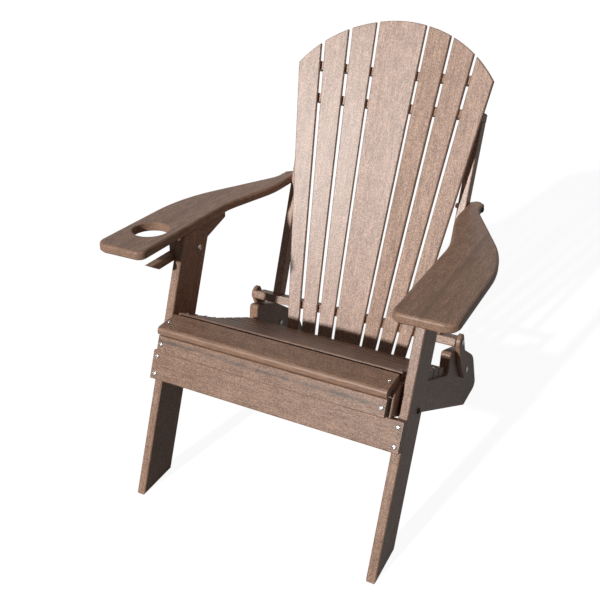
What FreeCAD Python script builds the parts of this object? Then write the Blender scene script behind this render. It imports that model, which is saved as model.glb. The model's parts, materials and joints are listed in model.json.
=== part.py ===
import FreeCAD, Part
import math
import os
import re

import Sketcher

# A folding lounge chair of recycled plastic boards: two side rails carry the seat, the front legs swing under
# it, and the fan back rides on two links while the arms tie its uprights to the legs.
# X runs across the chair, Y to the rear and Z up. While building, Y = 0 is the front corner of the feet.

doc = FreeCAD.newDocument("FoldingLoungeChair")
sheet = doc.addObject("Spreadsheet::Sheet", "Sizes")

# Driving dimensions in millimetres and degrees
SIZES = [
    ("board", 22, "thickness of the boards"),
    ("rail_thick", 26, "thickness of the two seat rails"),
    ("edge_round", 3, "routed round on the long edges"),
    ("edge_break", 2, "bevel on the rims of sawn outlines"),
    ("leg_spread", 648, "width over the outer faces of the legs"),
    ("leg_lean", 24, "lean of the legs to the rear"),
    ("leg_width", 104, "width of a leg board"),
    ("leg_shoulder", 30, "rear corner of the leg's top above the arm pivot"),
    ("corner_round", 10, "round of sawn corners"),
    ("stretcher_drop", 129.5, "stretcher's lower edge below the rails' front corner, along the leg"),
    ("stretcher_height", 72, "width of the stretcher board"),
    ("seat_pivot_drop", 48.5, "seat pivot below the rails' front corner, along the leg"),
    ("seat_pivot_rear", 72, "seat pivot, behind the leg's front edge"),
    ("arm_pivot_over", 200.5, "arm pivot above the rails' front corner, along the leg"),
    ("arm_pivot_rear", 71, "arm pivot, behind the leg's front edge"),
    ("pivot_gap", 4, "room between leg and rail for the washer"),
    ("side_gap", 0.5, "running gap between boards that turn on each other"),
    ("rest_gap", 0.3, "gap where a moving piece comes to rest"),
    ("bolt_radius", 4, "radius of the pivot bolts"),
    ("running_fit", 0.05, "radial clearance of a bolt in its hole"),
    ("head_radius", 7.5, "radius of the pivot bolts' heads"),
    ("head_height", 4.5, "height of the pivot bolts' heads"),
    ("nut_radius", 7.5, "corner radius of the nuts"),
    ("nut_height", 6.5, "height of the nuts"),
    ("screw_radius", 2.2, "radius of the screw shanks"),
    ("screw_head", 4.6, "radius of the screw heads"),
    ("screw_dome", 2.6, "height of the screw heads"),
    ("screw_bite", 26, "depth of a screw in the second board"),
    ("apron_forward", 39, "rail ends in front of the legs"),
    ("foot_run", 153.4, "front of the flat on which a rail stands, behind the back's bar"),
    ("rear_run", 270.4, "rear end of the rails, behind the back's bar"),
    ("heel_run", 60, "slope of the rail's heel"),
    ("heel_drop", 160.9, "rail's heel below the back's bar"),
    ("heel_round", 18, "round of the rail's foot"),
    ("hump_gap", 14, "room between the hump and the back's bar"),
    ("hump_lead", 20.5, "hump in front of the slats' rear face"),
    ("hump_tail", 95, "hump behind the slats' rear face"),
    ("seat_height", 411, "top of the rails under the front slat"),
    ("seat_inset", 8, "ends of the seat's boards inside the rails' outer faces"),
    ("seat_lead", 2.9, "room between the front slat and the start of the seat's slope"),
    ("seat_slope_front", 32, "slope of the front half of the seat"),
    ("seat_slope_rear", 27.2, "slope of the rear half of the seat"),
    ("seat_pitch", 45.5, "pitch of the narrow seat slats"),
    ("seat_gap", 6, "gap between the seat slats"),
    ("notch_run", 26, "rail top between the seat and the hump"),
    ("front_slat_width", 73, "width of the front seat slat"),
    ("front_overhang", 4, "front slat in front of the apron"),
    ("bullnose", 9, "round of the front slat's front edge"),
    ("link_behind", 94.4, "link pivot on the rail, behind the back's bar"),
    ("link_drop", 135.9, "link pivot on the rail, below the back's bar"),
    ("link_thick", 12, "thickness of a link"),
    ("link_width", 40, "width of a link"),
    ("link_bend", 10, "bow of a link to the front"),
    ("link_end", 26, "length of a link past its pivots"),
    ("back_run", 388.7, "front of the back's bar, behind the rails' front corner along the leg"),
    ("back_drop", 112.1, "middle of the back's bar below the seat's height"),
    ("back_lean", 22.8, "lean of the back to the rear"),
    ("slat_foot", 85, "slats below the bar"),
    ("slat_thick", 12, "thickness of the back slats"),
    ("slat_gap", 10, "gap between the back slats"),
    ("back_hollow", 23, "depth of the hollow in the boards behind the slats"),
    ("fan_turn", 7.1, "turn of the side slats towards the middle"),
    ("centre_low", 79.5, "centre slat's width at the bar"),
    ("centre_high", 120, "centre slat's width at the top cleat"),
    ("inner_low", 41.7, "inner slats' width at the bar"),
    ("inner_high", 60.7, "inner slats' width at the top cleat"),
    ("middle_low", 40, "middle slats' width at the bar"),
    ("middle_high", 60.6, "middle slats' width at the top cleat"),
    ("outer_low", 35, "outer slats' width at the bar"),
    ("outer_high", 59.6, "outer slats' width at the top cleat"),
    ("arch_centre", 443, "centre of the back's arch, along the back"),
    ("arch_radius", 344, "radius of the back's arch"),
    ("top_cleat_drop", 132, "top cleat below the top of the arch"),
    ("top_cleat_inset", 30, "ends of the top cleat inside the fan's edges"),
    ("top_cleat_depth", 46, "depth of the top cleat"),
    ("cleat_pitch", 84, "upper cleat below the top cleat"),
    ("cleat_depth", 38, "depth of the uprights"),
    ("upright_spread", 504, "width over the outer faces of the uprights"),
    ("arm_joint_at", 344, "arm joint on the upright, along the back"),
    ("arm_over", 54, "underside of the arm above the arm pivot"),
    ("arm_front", 232, "arm in front of the arm pivot"),
    ("arm_tail", 30, "arm behind the arm joint"),
    ("arm_tip", 38, "width of the arm at the joint"),
    ("arm_inset", 43, "inner edge of the arms' front parts outside the uprights"),
    ("arm_outer", 858, "width over the arms"),
    ("arm_full", 104, "straight outer edge of the arm behind the pivot"),
    ("arm_shoulder", 378, "end of the arm's outer curve behind the pivot"),
    ("arm_waist", 133, "start of the arm's inner curve behind the pivot"),
    ("arm_neck", 303, "end of the arm's inner curve behind the pivot"),
    ("arm_round", 7, "round of the arm's edges"),
    ("tip_cut", 13, "corner cut of the arm's rear end"),
    ("cup_wall", 23, "arm beside the cup hole"),
    ("cup_front", 108, "cup hole's centre in front of the arm pivot"),
    ("bracket_front", 64, "bracket in front of the arm pivot"),
    ("bracket_rear", 160, "bracket behind the arm pivot"),
    ("bracket_low", 11, "bracket below the arm pivot"),
    ("bracket_heel", 22, "lower rear corner of the bracket above the arm pivot"),
    ("cup_stop", 163, "cup stop in front of the arm pivot"),
    ("cup_stop_top", 8, "top of the cup stop above the arm pivot"),
]

# Places that follow from the driving dimensions
DERIVED = [
    ("leg_inner", "leg_spread / 2 - board"),
    ("rail_outer", "leg_inner - pivot_gap"),
    ("rail_inner", "rail_outer - rail_thick"),
    ("seat_end", "rail_outer - seat_inset"),
    ("rail_brow", "(seat_height - apron_forward * sin(leg_lean)) / cos(leg_lean)"),
    ("stretcher_low", "rail_brow - stretcher_drop"),
    ("seat_pivot_along", "rail_brow - seat_pivot_drop"),
    ("arm_pivot_along", "rail_brow + arm_pivot_over"),
    ("back_y", "rail_brow * sin(leg_lean) + back_run"),
    ("back_z", "seat_height - back_drop"),
    ("link_pivot_y", "back_y + link_behind"),
    ("link_pivot_z", "back_z - link_drop"),
    ("rail_foot", "back_y + foot_run"),
    ("rail_rear", "back_y + rear_run"),
    ("heel_height", "back_z - heel_drop"),
    ("top_cleat_at", "arch_centre + arch_radius - top_cleat_drop"),
    ("upper_cleat_at", "top_cleat_at - cleat_pitch"),
    ("arm_inner", "upright_spread + 2 * arm_inset"),
    ("cup_radius", "(arm_outer - arm_inner) / 4 - cup_wall"),
    ("fold_low", "(centre_low + slat_gap) / 2"),
    ("fold_high", "(centre_high + slat_gap) / 2"),
    ("fan_half", "centre_high / 2 + 3 * slat_gap + inner_high + middle_high + outer_high"),
    ("pivot_a_y", "seat_pivot_along * sin(leg_lean) + seat_pivot_rear * cos(leg_lean)"),
    ("pivot_a_z", "seat_pivot_along * cos(leg_lean) - seat_pivot_rear * sin(leg_lean)"),
    ("pivot_b_y", "arm_pivot_along * sin(leg_lean) + arm_pivot_rear * cos(leg_lean)"),
    ("pivot_b_z", "arm_pivot_along * cos(leg_lean) - arm_pivot_rear * sin(leg_lean)"),
    ("bar_depth", "board + cleat_depth"),
    ("joint_offset", "board + cleat_depth / 2"),
    ("pivot_c_y", "back_y + arm_joint_at * sin(back_lean) + joint_offset * cos(back_lean)"),
    ("pivot_c_z", "back_z + arm_joint_at * cos(back_lean) - joint_offset * sin(back_lean)"),
    ("pivot_e_y", "back_y + bar_depth / 2 * cos(back_lean)"),
    ("pivot_e_z", "back_z - bar_depth / 2 * sin(back_lean)"),
    ("arm_chord", "hypot(pivot_c_y - pivot_b_y; pivot_c_z - pivot_b_z)"),
    ("arm_rise", "arm_over + board / 2"),
    ("arm_angle", "(atan2(pivot_c_z - pivot_b_z; pivot_c_y - pivot_b_y) - asin(arm_rise / arm_chord)) / 1 deg"),
    ("arm_reach", "sqrt(arm_chord * arm_chord - arm_rise * arm_rise)"),
    ("stretcher_top", "stretcher_low + stretcher_height"),
    ("stretcher_top_y", "stretcher_top * sin(leg_lean)"),
    ("stretcher_top_z", "stretcher_top * cos(leg_lean) + 1.2 * rest_gap"),
    ("rail_fall", "stretcher_top_z / (rail_foot - stretcher_top_y)"),
    ("rail_toe", "(rail_fall * (rail_foot + apron_forward * cos(leg_lean)) - apron_forward * sin(leg_lean))"
                 " / (cos(leg_lean) + rail_fall * sin(leg_lean))"),
    ("apron_face", "apron_forward + board"),
    ("apron_brow", "(seat_height - rest_gap - apron_face * sin(leg_lean)) / cos(leg_lean)"),
    ("front_slat_y", "apron_brow * sin(leg_lean) - apron_face * cos(leg_lean) - front_overhang"),
    ("seat_break", "front_slat_y + front_slat_width + seat_lead"),
    ("seat_half", "4 * seat_pitch"),
    ("seat_mid_y", "seat_break + seat_half * cos(seat_slope_front)"),
    ("seat_mid_z", "seat_height - seat_half * sin(seat_slope_front)"),
    ("notch_y", "seat_mid_y + (seat_half + notch_run) * cos(seat_slope_rear)"),
    ("notch_z", "seat_mid_z - (seat_half + notch_run) * sin(seat_slope_rear)"),
    ("hump_drop", "board / 2 + hump_gap"),
    ("leg_top", "arm_over - 5 * rest_gap"),
    ("leg_brow", "(leg_top + pivot_b_z * cos(arm_angle) - pivot_b_y * sin(arm_angle))"
                 " / cos(leg_lean + arm_angle)"),
    ("bracket_inner", "leg_spread / 2 + side_gap"),
    ("link_length", "hypot(pivot_e_y - link_pivot_y; pivot_e_z - link_pivot_z)"),
    ("link_run", "(pivot_e_y - link_pivot_y) / link_length"),
    ("link_climb", "(pivot_e_z - link_pivot_z) / link_length"),
]

for row, (alias, number, note) in enumerate(SIZES, 1):
    sheet.set("A%d" % row, note)
    sheet.set("B%d" % row, str(number))
    sheet.setAlias("B%d" % row, alias)
for row, (alias, formula) in enumerate(DERIVED, len(SIZES) + 1):
    sheet.set("B%d" % row, "=" + formula)
    sheet.setAlias("B%d" % row, alias)
doc.recompute()

ALIASES = [entry[0] for entry in SIZES + DERIVED]
ALIAS_WORD = re.compile(r"\b(%s)\b" % "|".join(ALIASES))
UPRIGHT = FreeCAD.Rotation()
NEAR = 0.01
pieces = []


def value(text):
    """The number that an expression on the sheet's names gives."""
    answer = sheet.evalExpression(text)
    return float(getattr(answer, "Value", answer))


def bound(text):
    """The same expression as other objects read it."""
    return ALIAS_WORD.sub(r"Sizes.\1", text)


def vector(x, y, z):
    """A point from three expressions."""
    return FreeCAD.Vector(value(x), value(y), value(z))


def on_leg(along, rear):
    """Side-view point given along a leg and behind its front edge."""
    return ("(%s) * sin(leg_lean) + (%s) * cos(leg_lean)" % (along, rear),
            "(%s) * cos(leg_lean) - (%s) * sin(leg_lean)" % (along, rear))


def on_back(along, behind):
    """Side-view point given along the back and behind the front of its bar."""
    return ("back_y + (%s) * sin(back_lean) + (%s) * cos(back_lean)" % (along, behind),
            "back_z + (%s) * cos(back_lean) - (%s) * sin(back_lean)" % (along, behind))


def on_arm(along, over):
    """Side-view point given along the arm from its pivot and above that pivot."""
    return ("pivot_b_y + (%s) * cos(arm_angle) - (%s) * sin(arm_angle)" % (along, over),
            "pivot_b_z + (%s) * sin(arm_angle) + (%s) * cos(arm_angle)" % (along, over))


def new_body(label):
    """An empty body that becomes one sub-part."""
    body = doc.addObject("PartDesign::Body", label)
    body.Label = label
    pieces.append(body)
    return body


def new_sketch(body, plane):
    """A sketch on one of the body's own origin planes."""
    sketch = body.newObject("Sketcher::SketchObject", body.Name + "Sketch")
    support = [feature for feature in body.Origin.OriginFeatures if feature.Role == plane][0]
    sketch.AttachmentSupport = (support, "")
    sketch.MapMode = "FlatFace"
    return sketch


def hold(sketch, kind, place, text):
    """One dimension of a sketch, bound to the sheet."""
    index = sketch.addConstraint(Sketcher.Constraint(kind, *place, value(text)))
    sketch.setExpression("Constraints[%d]" % index, bound(text))


def outline(body, plane, corners, holes=()):
    """A closed outline through the corners, with round holes given by centre and radius."""
    sketch = new_sketch(body, plane)
    points = [vector(u, v, "0") for u, v in corners]
    count = len(points)
    for index in range(count):
        sketch.addGeometry(Part.LineSegment(points[index], points[(index + 1) % count]))
    for index in range(count):
        sketch.addConstraint(Sketcher.Constraint("Coincident", index, 2, (index + 1) % count, 1))
    for index, (u, v) in enumerate(corners):
        hold(sketch, "DistanceX", (index, 1), u)
        hold(sketch, "DistanceY", (index, 1), v)
    for u, v, radius in holes:
        index = sketch.addGeometry(Part.Circle(vector(u, v, "0"), FreeCAD.Vector(0, 0, 1), value(radius)))
        hold(sketch, "DistanceX", (index, 3), u)
        hold(sketch, "DistanceY", (index, 3), v)
        hold(sketch, "Radius", (index,), radius)
    return sketch


def padded(body, sketch, thickness):
    """The sketch raised to the board's thickness."""
    pad = body.newObject("PartDesign::Pad", body.Name + "Pad")
    pad.Profile = sketch
    pad.setExpression("Length", bound(thickness))
    doc.recompute()
    return pad


def rounded(body, base, edges, radius):
    """The named edges of a feature rounded to a radius from the sheet."""
    fillet = body.newObject("PartDesign::Fillet", body.Name + "Round")
    fillet.Base = (base, edges)
    fillet.setExpression("Radius", bound(radius))
    doc.recompute()
    return fillet


def bevelled(body, base, edges, size):
    """The named edges of a feature broken by a small bevel."""
    bevel = body.newObject("PartDesign::Chamfer", body.Name + "Bevel")
    bevel.Base = (base, edges)
    bevel.setExpression("Size", bound(size))
    doc.recompute()
    return bevel


def edges_where(feature, test):
    """Names of the edges of a feature that pass a test."""
    return ["Edge%d" % (index + 1) for index, edge in enumerate(feature.Shape.Edges) if test(edge)]


def span(edge, axis):
    """Lowest and highest place of an edge along X (0), Y (1) or Z (2)."""
    box = edge.BoundBox
    low = (box.XMin, box.YMin, box.ZMin)[axis]
    high = (box.XMax, box.YMax, box.ZMax)[axis]
    return low, high


def corner_test(axis, corner):
    """Test for the edge that stands on one corner of an outline padded along an axis."""
    u, v = value(corner[0]), value(corner[1])
    first, second = [other for other in range(3) if other != axis]

    def test(edge):
        low, high = span(edge, axis)
        u_low, u_high = span(edge, first)
        v_low, v_high = span(edge, second)
        upright = high - low > NEAR and u_high - u_low < NEAR and v_high - v_low < NEAR
        return upright and abs(u_low - u) < NEAR and abs(v_low - v) < NEAR
    return test


def round_corners(body, base, axis, corners):
    """Corners of an outline rounded, each with its own radius."""
    feature = base
    for corner, radius in corners:
        feature = rounded(body, feature, edges_where(feature, corner_test(axis, corner)), radius)
    return feature


def rim_test(axis, thickness):
    """Test for the edges that lie in the two faces of a board."""
    top = value(thickness)

    def test(edge):
        low, high = span(edge, axis)
        flat = high - low < NEAR
        return flat and (abs(low) < NEAR or abs(low - top) < NEAR)
    return test


def long_test(axis, least):
    """Test for straight edges that run along an axis for at least a given length."""
    shortest = value(least)

    def test(edge):
        low, high = span(edge, axis)
        return high - low > shortest
    return test


def ring_test(radii):
    """Test for edges that are full circles of one of the given radii."""
    sizes = [value(radius) for radius in radii]

    def test(edge):
        return edge.Curve.TypeId == "Part::GeomCircle" and any(
            abs(edge.Curve.Radius - size) < NEAR for size in sizes)
    return test


def side_board(label, corners, thickness, x, holes=(), corner_rounds=()):
    """A board cut to a side-view outline with its rims broken, its lower face at x."""
    body = new_body(label)
    feature = padded(body, outline(body, "YZ_Plane", corners, holes), thickness)
    feature = round_corners(body, feature, 0, corner_rounds)
    rim, bore = rim_test(0, thickness), ring_test([hole[2] for hole in holes])
    bevelled(body, feature, edges_where(feature, lambda edge: rim(edge) and not bore(edge)), "edge_break")
    body.Placement = FreeCAD.Placement(vector(x, "0", "0"), UPRIGHT)
    return body


def cross_board(label, length, corners, round_radius="edge_round"):
    """A board across the chair: its side-view section carried over its length, centred on X."""
    body = new_body(label)
    feature = padded(body, outline(body, "YZ_Plane", corners), length)
    rounded(body, feature, edges_where(feature, long_test(0, "(%s) * 0.9" % length)), round_radius)
    body.Placement = FreeCAD.Placement(vector("-(%s) / 2" % length, "0", "0"), UPRIGHT)
    return body


def mirrored(low, high, side):
    """The lower face of a board that lies from low to high on the right side or mirrored on the left."""
    return low if side > 0 else "-(%s)" % high


SIDES = (("left", -1), ("right", 1))
BOLT_HOLE = "bolt_radius + running_fit"
PIVOT_A = ("pivot_a_y", "pivot_a_z")
PIVOT_B = ("pivot_b_y", "pivot_b_z")
PIVOT_C = ("pivot_c_y", "pivot_c_z")
PIVOT_E = ("pivot_e_y", "pivot_e_z")
PIVOT_F = ("link_pivot_y", "link_pivot_z")


def make_legs():
    """Front legs: level feet, tops cut along the arm, rear corner taken off so that they turn under it."""
    crown = on_arm("0", "leg_top")
    brow = on_leg("leg_brow", "0")
    corners = [("0", "0"), ("leg_width / cos(leg_lean)", "0"),
               on_leg("arm_pivot_along + leg_shoulder", "leg_width"), crown, brow]
    holes = [PIVOT_A + (BOLT_HOLE,), PIVOT_B + (BOLT_HOLE,)]
    for name, side in SIDES:
        side_board("leg_" + name, corners, "board", mirrored("leg_inner", "leg_inner + board", side), holes,
                   [(crown, "corner_round"), (brow, "corner_round")])
    cross_board("front_stretcher", "leg_spread",
                [on_leg("stretcher_low", "-board"), on_leg("stretcher_low", "0"),
                 on_leg("stretcher_top", "0"), on_leg("stretcher_top", "-board")])


def on_seat(half, along, over):
    """Side-view point given along the front (0) or rear (1) half of the seat and above the rails."""
    start_y, start_z, slope = (("seat_break", "seat_height", "seat_slope_front"),
                               ("seat_mid_y", "seat_mid_z", "seat_slope_rear"))[half]
    return ("%s + (%s) * cos(%s) + (%s) * sin(%s)" % (start_y, along, slope, over, slope),
            "%s - (%s) * sin(%s) + (%s) * cos(%s)" % (start_z, along, slope, over, slope))


def make_seat():
    """Seat rails, apron and the row of slats that follows the rails' hollow."""
    toe = on_leg("rail_toe", "-apron_forward")
    foot = ("rail_foot", "0")
    rear = ("rail_rear", "0")
    heel = ("rail_rear - heel_run", "heel_height")
    hump_rear = on_back("-hump_drop", "hump_tail")
    hump_front = on_back("-hump_drop", "-hump_lead")
    notch = ("notch_y", "notch_z")
    brow = on_leg("rail_brow", "-apron_forward")
    corners = [toe, foot, rear, heel, hump_rear, hump_front, notch, ("seat_mid_y", "seat_mid_z"),
               ("seat_break", "seat_height"), brow]
    turns = [(rear, "heel_round"), (heel, "5 * heel_round"), (hump_rear, "4 * heel_round"),
             (hump_front, "corner_round"), (notch, "corner_round")]
    holes = [PIVOT_A + (BOLT_HOLE,), PIVOT_F + (BOLT_HOLE,)]
    for name, side in SIDES:
        side_board("rail_" + name, corners, "rail_thick", mirrored("rail_inner", "rail_outer", side), holes,
                   turns)
    cross_board("front_apron", "2 * seat_end",
                [on_leg("rail_toe", "-apron_face"), on_leg("rail_toe", "-apron_forward"),
                 on_leg("apron_brow", "-apron_forward"), on_leg("apron_brow", "-apron_face")])

    body = new_body("front_seat_slat")
    front, back = "front_slat_y", "front_slat_y + front_slat_width"
    low, high = "seat_height", "seat_height + board"
    feature = padded(body, outline(body, "YZ_Plane", [(front, low), (back, low), (back, high), (front, high)]),
                     "2 * seat_end")
    feature = round_corners(body, feature, 0, [((front, low), "bullnose"), ((front, high), "bullnose")])
    round_corners(body, feature, 0, [((back, high), "edge_round")])
    body.Placement = FreeCAD.Placement(vector("-seat_end", "0", "0"), UPRIGHT)

    for index in range(8):
        half, place = divmod(index, 4)
        start = "%d * seat_pitch + seat_gap / 2" % place
        end = "%d * seat_pitch - seat_gap / 2" % (place + 1)
        cross_board("seat_slat_%d" % (index + 1), "2 * seat_end",
                    [on_seat(half, start, "0"), on_seat(half, end, "0"),
                     on_seat(half, end, "board"), on_seat(half, start, "board")])


def make_links():
    """Bowed links between the rails and the ends of the back's bar."""
    def on_link(along, forward):
        return ("link_pivot_y + (%s) * link_run - (%s) * link_climb" % (along, forward),
                "link_pivot_z + (%s) * link_climb + (%s) * link_run" % (along, forward))
    half = "link_width / 2"
    corners = [on_link("-link_end", "-" + half), on_link("-link_end", half),
               on_link("link_length / 2", half + " + link_bend"), on_link("link_length + link_end", half),
               on_link("link_length + link_end", "-" + half), on_link("link_length / 2", "link_bend - " + half)]
    turns = [(corners[index], "0.45 * link_width") for index in (0, 1, 3, 4)]
    turns += [(corners[index], "2 * link_width") for index in (2, 5)]
    holes = [PIVOT_E + (BOLT_HOLE,), PIVOT_F + (BOLT_HOLE,)]
    inner = "rail_outer + side_gap"
    for name, side in SIDES:
        side_board("link_" + name, corners, "link_thick", mirrored(inner, inner + " + link_thick", side), holes, turns)


def pocketed(body, sketch):
    """The sketch cut through the body on the side where the material is."""
    before = body.Shape.Volume
    pocket = body.newObject("PartDesign::Pocket", body.Name + "Pocket")
    pocket.Profile = sketch
    pocket.Type = "ThroughAll"
    doc.recompute()
    if before - body.Shape.Volume < NEAR:
        pocket.Reversed = True
        doc.recompute()
    return pocket


def make_arms():
    """Arms in plan view, narrowing to a tip beside the upright, and the brackets that hang them on the legs."""
    for name, side in SIDES:
        sign = "" if side > 0 else "-"

        def across(text, sign=sign):
            return "%s(%s)" % (sign, text)
        inner, outer = across("arm_inner / 2"), across("arm_outer / 2")
        tip_in = across("upright_spread / 2 + side_gap")
        tip_out = across("upright_spread / 2 + side_gap + arm_tip")
        tail = "arm_reach + arm_tail"
        front_out, front_in = (outer, "-arm_front"), (inner, "-arm_front")
        full, shoulder = (outer, "arm_full"), (tip_out, "arm_shoulder")
        neck, waist = (tip_in, "arm_neck"), (inner, "arm_waist")
        corners = [front_in, front_out, full, shoulder, (tip_out, tail + " - tip_cut"),
                   (across("upright_spread / 2 + side_gap + arm_tip - tip_cut"), tail),
                   (across("upright_spread / 2 + side_gap + tip_cut"), tail), (tip_in, tail + " - tip_cut"),
                   neck, waist]
        holes = []
        if side < 0:
            holes.append((across("(arm_inner + arm_outer) / 4"), "-cup_front", "cup_radius"))
        body = new_body("arm_" + name)
        feature = padded(body, outline(body, "XY_Plane", corners, holes), "board")
        feature = round_corners(body, feature, 2, [
            (front_in, "board"), (front_out, "1.4 * board"), (full, "arm_outer / 2"),
            (shoulder, "arm_outer / 8"), (neck, "arm_outer / 3"), (waist, "arm_outer / 3")])
        cup_rim = ring_test(["cup_radius"])
        rim = rim_test(2, "board")
        feature = rounded(body, feature, edges_where(feature, lambda edge: (
            rim(edge) and span(edge, 2)[0] > NEAR and not cup_rim(edge))), "arm_round")
        feature = bevelled(body, feature, edges_where(feature, lambda edge: (
            rim(edge) and span(edge, 2)[0] < NEAR and not cup_rim(edge))), "2 * edge_break")
        if side < 0:
            bevelled(body, feature, edges_where(feature, cup_rim), "edge_break")
        bore = new_sketch(body, "YZ_Plane")
        circle = Part.Circle(vector("arm_reach", "board / 2", "0"), FreeCAD.Vector(0, 0, 1), value(BOLT_HOLE))
        bore.addGeometry(circle)
        hold(bore, "DistanceX", (0, 3), "arm_reach")
        hold(bore, "DistanceY", (0, 3), "board / 2")
        hold(bore, "Radius", (0,), BOLT_HOLE)
        pocketed(body, bore)
        y, z = on_arm("0", "arm_over")
        body.Placement = FreeCAD.Placement(
            vector("0", y, z), FreeCAD.Rotation(FreeCAD.Vector(1, 0, 0), value("arm_angle")))

        low = "-bracket_low"
        front = [on_arm("-bracket_front", low)]
        if side < 0:
            front = [on_arm("-bracket_front", "cup_stop_top"), on_arm("-cup_stop", "cup_stop_top"),
                     on_arm("30 - cup_stop", low)]
        bend, heel = on_arm("0.3 * bracket_rear", low), on_arm("bracket_rear", "bracket_heel")
        side_board("arm_bracket_" + name,
                   [on_arm("-bracket_front", "arm_over")] + front + [bend, heel, on_arm("bracket_rear", "arm_over")],
                   "board", mirrored("bracket_inner", "bracket_inner + board", side), [PIVOT_B + (BOLT_HOLE,)],
                   [(bend, "bracket_rear"), (heel, "edge_round")])


def fan_slats():
    """Edges of the slats from the centre outwards: inner and outer at the bar, inner and outer at the top cleat."""
    low, high = "centre_low / 2", "centre_high / 2"
    slats = [("-" + low, low, "-" + high, high)]
    for kind in ("inner", "middle", "outer"):
        start_low, start_high = low + " + slat_gap", high + " + slat_gap"
        low, high = start_low + " + %s_low" % kind, start_high + " + %s_high" % kind
        slats.append((start_low, low, start_high, high))
    return slats


def fan_edge(low, high, along):
    """Distance from the centre line of a slat's edge at a place along the back."""
    return "%s + (%s - (%s)) * (%s) / top_cleat_at" % (low, high, low, along)


def arch_waste(body):
    """Half ring outside the arch that is sawn off all slats together."""
    sketch = new_sketch(body, "XY_Plane")
    centre = vector("0", "arch_centre", "0")
    up = FreeCAD.Vector(0, 0, 1)
    for radius in ("arch_radius", "2 * arch_radius"):
        circle = Part.Circle(centre, up, value(radius))
        index = sketch.addGeometry(Part.ArcOfCircle(circle, 0, math.pi))
        hold(sketch, "DistanceX", (index, 3), "0")
        hold(sketch, "DistanceY", (index, 3), "arch_centre")
        hold(sketch, "Radius", (index,), radius)
    for end, side in ((1, 1), (2, -1)):
        index = sketch.addGeometry(Part.LineSegment(
            centre + FreeCAD.Vector(side * value("arch_radius"), 0, 0),
            centre + FreeCAD.Vector(side * value("2 * arch_radius"), 0, 0)))
        sketch.addConstraint(Sketcher.Constraint("Coincident", index, 1, 0, end))
        sketch.addConstraint(Sketcher.Constraint("Coincident", index, 2, 1, end))
        sketch.addConstraint(Sketcher.Constraint("Horizontal", index))
    return sketch


def slat_turn(side):
    """Place of the slats of one side in the hollow, turned about the gap beside the centre slat."""
    fold, line = vector("fold_low", "0", "0"), vector("fold_high - fold_low", "top_cleat_at", "0")
    fold.x *= side
    line.x *= side
    turn = FreeCAD.Rotation(line, -side * value("fan_turn"))
    return FreeCAD.Placement(vector("0", "0", "rest_gap - back_hollow"), turn, fold)


def rear_board(label, half, along, depth, level_ends=False):
    """A board across the slats' rear, its front sawn to the hollow in which they lie."""
    fold = fan_edge("fold_low", "fold_high", along)
    if level_ends:
        wing = [(half, "0"), ("%s + back_hollow / tan(fan_turn)" % fold, "0")]
    else:
        wing = [(half, "back_hollow - (%s - (%s)) * tan(fan_turn)" % (half, fold))]
    wing.append((fold, "back_hollow"))
    corners = [("-(%s)" % half, depth), (half, depth)] + wing
    corners += [("-(%s)" % x, y) for x, y in reversed(wing)]
    body = new_body(label)
    feature = padded(body, outline(body, "XY_Plane", corners), "board")
    rim, rear = rim_test(2, "board"), value(depth)
    rounded(body, feature, edges_where(feature, lambda edge: (
        rim(edge) and (span(edge, 1)[0] > rear - NEAR or abs(span(edge, 1)[0]) + abs(span(edge, 1)[1]) < NEAR))),
        "edge_round")
    y, z = on_back("%s - board / 2" % along, "0")
    body.Placement = FreeCAD.Placement(
        vector("0", y, z), FreeCAD.Rotation(FreeCAD.Vector(1, 0, 0), value("-back_lean")))


def make_back():
    """Hollow fan of slats sawn to one arch, the three boards behind it and the uprights that take the arms."""
    foot, top = "-slat_foot", "arch_centre + arch_radius + board"
    slats = fan_slats()
    flat = FreeCAD.Placement(
        vector("0", "back_y", "back_z"), FreeCAD.Rotation(FreeCAD.Vector(1, 0, 0), value("90 - back_lean")))
    for number in range(1, 8):
        order = number - 4
        low_in, low_out, high_in, high_out = slats[abs(order)]
        sign = "-" if order < 0 else ""
        corners = [("%s(%s)" % (sign, fan_edge(low, high, along)), along)
                   for low, high, along in ((low_in, high_in, foot), (low_out, high_out, foot),
                                            (low_out, high_out, top), (low_in, high_in, top))]
        body = new_body("back_slat_%d" % number)
        padded(body, outline(body, "XY_Plane", corners), "slat_thick")
        feature = pocketed(body, arch_waste(body))
        bevelled(body, feature, edges_where(feature, rim_test(2, "slat_thick")), "edge_break")
        body.Placement = flat.multiply(slat_turn((order > 0) - (order < 0)))

    rear_board("lower_bar", "rail_outer", "0", "bar_depth", True)
    rear_board("upper_cleat", "upright_spread / 2", "upper_cleat_at", "bar_depth")
    rear_board("top_cleat", "fan_half - top_cleat_inset", "top_cleat_at", "top_cleat_depth")
    low, high = "board / 2", "upper_cleat_at - board / 2"
    corners = [on_back(low, "board"), on_back(low, "bar_depth"), on_back(high, "bar_depth"),
               on_back(high, "board")]
    for name, side in SIDES:
        outer = "upright_spread / 2"
        side_board("upright_" + name, corners, "board", mirrored(outer + " - board", outer, side))


def ring_of(sides, radius, height):
    """A closed polygon of equal sides around Z."""
    turn = 2 * math.pi / sides
    corners = [FreeCAD.Vector(radius * math.cos(turn * step), radius * math.sin(turn * step), height)
               for step in range(sides)]
    return Part.makePolygon(corners + corners[:1])


def stack(sides, rings):
    """A solid through equal polygons, given by radius and height from below."""
    return Part.makeLoft([ring_of(sides, radius, height) for radius, height in rings], True, True)


def headed(shank, head, dome, sides):
    """A shank that hangs below Z = 0 with a low crowned head on it."""
    wide, high = value(head), value(dome)
    return shank.fuse(stack(sides, [(wide, 0), (wide, 0.4 * high), (0.7 * wide, high)])).removeSplitter()


def screw(length):
    """A pan-head screw."""
    return headed(stack(6, [(value("screw_radius"), -value(length)), (value("screw_radius"), 0)]),
                  "screw_head", "screw_dome", 8)


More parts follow.
